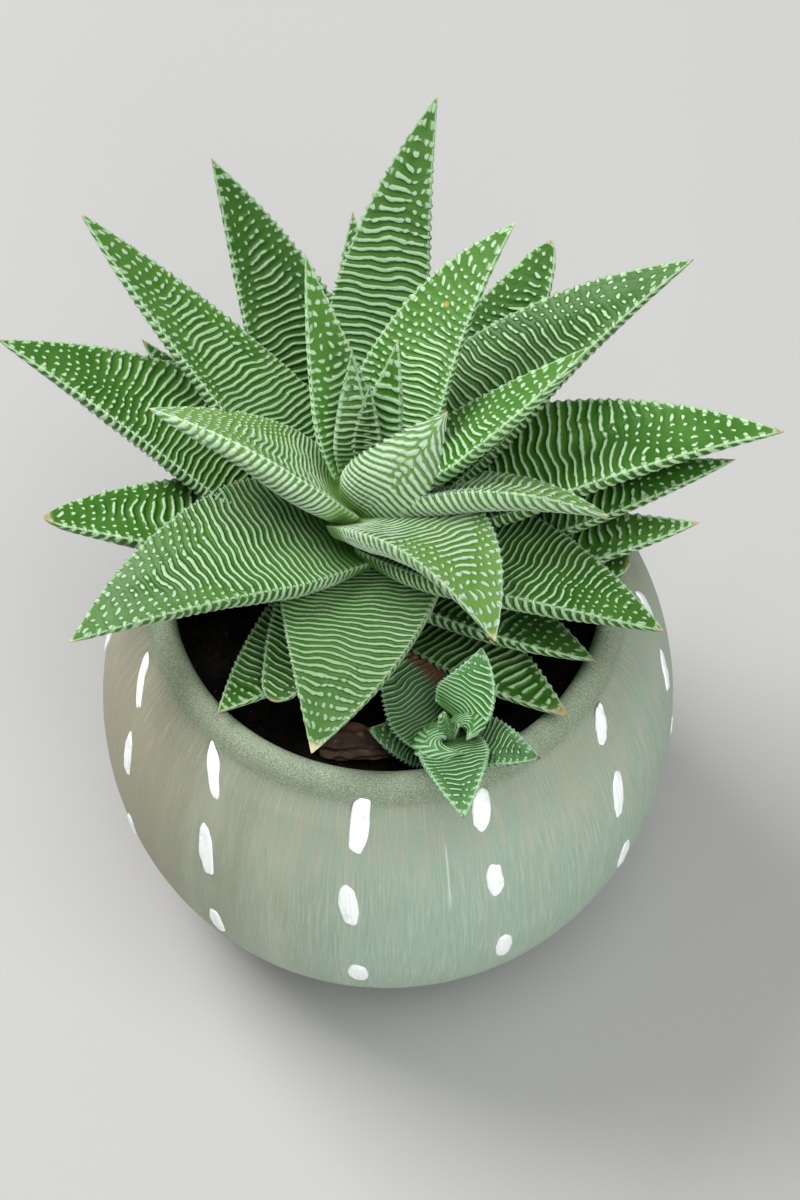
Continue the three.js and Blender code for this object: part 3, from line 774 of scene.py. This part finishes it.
# The peat colours are darker than the peat itself, because they hold painted shade from the leaves over
# the soil
PEAT_BLACK_IN_SHADE = (0.0015, 0.001, 0.0008, 1)
PEAT_BROWN_IN_SHADE = (0.009, 0.006, 0.004, 1)
PEAT_GRAIN = (0.07, 0.045, 0.03, 1)


def soil_lumps(x, y):
    lumps = math.sin(0.31 * x + 1.3) * math.sin(0.27 * y + 0.4)
    lumps += 0.5 * math.sin(0.83 * x - 0.6 * y) * math.sin(0.71 * y + 0.35 * x + 2)
    return LUMP_HEIGHT * lumps


soil_profile = [(0, FLOOR_Z + SOIL_GAP), (FLOOR_RADIUS - SOIL_GAP, FLOOR_Z + SOIL_GAP)]
soil_profile += [(belly(z) - WALL - SOIL_GAP, z) for z in (16, 31, 46, 60)]
soil_profile += [(SOIL_EDGE * (1 - step / SOIL_RINGS), SOIL_Z) for step in range(SOIL_RINGS + 1)]
soil_mesh = bpy.data.meshes.new("soil")
soil_bm = bmesh.new()
bmesh.ops.create_grid(soil_bm, x_segments=SOIL_AROUND, y_segments=len(soil_profile) - 1, size=1)
for vertex in soil_bm.verts:
    turn = (vertex.co.x + 1) * math.pi
    radius, z = soil_profile[round((vertex.co.y + 1) / 2 * (len(soil_profile) - 1))]
    x = radius * math.cos(turn)
    y = radius * math.sin(turn)
    if z == SOIL_Z and radius < SOIL_EDGE - 0.1:
        fine_lumps = noise.fractal(Vector((x * 0.55, y * 0.55, 0)), 0.8, 2.1, 4)
        z += soil_lumps(x, y) + FINE_LUMPS * fine_lumps
    vertex.co = (x * MM, y * MM, z * MM)
close_mesh(soil_bm, soil_mesh, 1e-6)
soil = put_in_scene("soil_peat", soil_mesh)

# Crumbs and small stones pressed into the top, each an uneven lump of its own
crumb_mesh = bpy.data.meshes.new("crumbs")
crumb_bm = bmesh.new()
rng = np.random.default_rng(7)
for _ in range(CRUMBS):
    turn = rng.uniform(0, 2 * math.pi)
    radius = CRUMB_REACH * math.sqrt(rng.uniform(0, 1))
    x = radius * math.cos(turn)
    y = radius * math.sin(turn)
    size = rng.uniform(0.35, 1.1)
    centre = Vector((x, y, SOIL_Z + soil_lumps(x, y) + 0.2 * size))
    for vertex in bmesh.ops.create_icosphere(crumb_bm, subdivisions=2, radius=1)["verts"]:
        bumpy = size * (0.75 + 0.6 * noise.noise(vertex.co * 1.3 + centre))
        vertex.co = (centre + Vector((vertex.co.x, vertex.co.y, 0.7 * vertex.co.z)) * bumpy) * MM
for polygon in crumb_bm.faces:
    polygon.smooth = True
crumb_bm.to_mesh(crumb_mesh)
crumb_bm.free()
crumbs = put_in_scene("soil_crumbs", crumb_mesh)

earth, nodes, links, shader = new_material("peat", 0.9, 0.15)
place = nodes.new("ShaderNodeTexCoord").outputs["Object"]
clods = speckle(260, 4, place)
grains = speckle(1400, 3, place)
# Peat colours darkened by painted shade, mottled by clods and flecked with pale grains
peat_and_shade = blended(ramp(clods, 0.35, 0.7), PEAT_BLACK_IN_SHADE, PEAT_BROWN_IN_SHADE)
peat_and_shade = blended(ramp(grains, 0.64, 0.76, 0.0, 0.7), peat_and_shade, PEAT_GRAIN)
finish_surface(peat_and_shade, maths("MULTIPLY_ADD", grains, 0.5, clods), 0.9, 0.0006)
soil_mesh.materials.append(earth)
crumb_mesh.materials.append(earth)
for piece in (soil, crumbs):
    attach(piece, "root")
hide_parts("soil")


# ---- Husk: an old dried leaf lying keel up on the soil, brown, shrunk and wrinkled lengthwise ----
# A bent, flattened tube that narrows to a point like a leaf. It rests loose at the front of the plant.
HUSK_DARK = (0.035, 0.017, 0.009, 1)
HUSK_BROWN = (0.12, 0.055, 0.028, 1)
HUSK_FIBRE = (0.24, 0.14, 0.075, 1)
HUSK_FROM = Vector((-11, -25.5, 69))
HUSK_TO = Vector((5, -28.5, 69))
HUSK_HALF = 3.25
HUSK_HIGH = 1.62
HUSK_TIP = 0.02
HUSK_AROUND = 48
HUSK_ROWS = 90
husk_middle = (HUSK_FROM + HUSK_TO) / 2 + Vector((0, 1.5, 0.8))
husk_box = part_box("dry_husk")
husk_mesh = bpy.data.meshes.new("husk")
husk_bm = bmesh.new()
bmesh.ops.create_grid(husk_bm, x_segments=HUSK_AROUND, y_segments=HUSK_ROWS, size=1)
for vertex in husk_bm.verts:
    s = (vertex.co.y + 1) / 2
    turn = (vertex.co.x + 1) * math.pi
    axis = (1 - s) ** 2 * HUSK_FROM + 2 * s * (1 - s) * husk_middle + s * s * HUSK_TO
    tangent = ((husk_middle - HUSK_FROM) * (1 - s) + (HUSK_TO - husk_middle) * s).normalized()
    side = Vector((0, 0, 1)).cross(tangent).normalized()
    up = tangent.cross(side)
    opening = FOOT_WIDTH + (1 - FOOT_WIDTH) * min(1, s / OPEN_BY) ** 0.7
    half = HUSK_HALF * opening * (1 - s * s) / CURVE_PEAK
    half = max(half, HUSK_TIP) if s > 0 else HUSK_TIP
    high = HUSK_HIGH * (half / HUSK_HALF) ** 0.7
    uneven = noise.noise(Vector((3 * math.cos(turn), 3 * math.sin(turn), 7 * s)))
    wrinkle = 1 + 0.14 * math.sin(9 * turn + 4 * s) + 0.22 * uneven
    lift = math.sin(turn)
    rise = high * lift * wrinkle if lift > 0 else 0.25 * high * lift
    vertex.co = axis + side * (half * math.cos(turn) * wrinkle) + up * rise
husk_low = min(vertex.co.z for vertex in husk_bm.verts)
for vertex in husk_bm.verts:
    vertex.co.z += husk_box[0].z / MM - husk_low
    vertex.co *= MM
close_mesh(husk_bm, husk_mesh, 1e-6)
husk = put_in_scene("husk_dry_leaf", husk_mesh)

husk_skin, nodes, links, shader = new_material("dry leaf", 0.75)
place = nodes.new("ShaderNodeTexCoord").outputs["Object"]
fibre = speckle(700, 4, place)
blotch = speckle(180, 2, place)
brown = blended(ramp(blotch, 0.35, 0.7), HUSK_DARK, HUSK_BROWN)
brown = blended(ramp(fibre, 0.55, 0.75, 0.0, 0.7), brown, HUSK_FIBRE)
finish_surface(brown, fibre, 0.7, 0.0004)
husk_mesh.materials.append(husk_skin)
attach(husk, "root")
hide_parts("dry_husk")


# ---- Stems: the two short shafts between the leaf bases keep their solids ----
# Green and fresh at the top, in the heart of the rosette, and brown and corky lower down.
CORK_DARK = (0.07, 0.09, 0.03, 1)
CORK_PALE = (0.20, 0.19, 0.09, 1)
FRESH_DARK = (0.08, 0.21, 0.025, 1)
FRESH_PALE = (0.20, 0.36, 0.10, 1)
CORK_TOP = 0.076
FRESH_FROM = 0.088
bark, nodes, links, shader = new_material("stem", 0.6)
place = nodes.new("ShaderNodeTexCoord").outputs["Object"]
rings = speckle(500, 3, place)
cork = blended(ramp(rings, 0.35, 0.65), CORK_DARK, CORK_PALE)
fresh = blended(ramp(rings, 0.35, 0.65), FRESH_DARK, FRESH_PALE)
apart = nodes.new("ShaderNodeSeparateXYZ")
links.new(place, apart.inputs[0])
up_stem = ramp(apart.outputs["Z"], CORK_TOP, FRESH_FROM)
finish_surface(blended(up_stem, cork, fresh), rings, 0.5, 0.0003)
for name in ("stem", "offset_stem"):
    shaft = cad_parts[name]
    shaft.data.materials.clear()
    shaft.data.materials.append(bark)


size = [[list(cad_low), list(cad_high)], [list(corner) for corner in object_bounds()]]
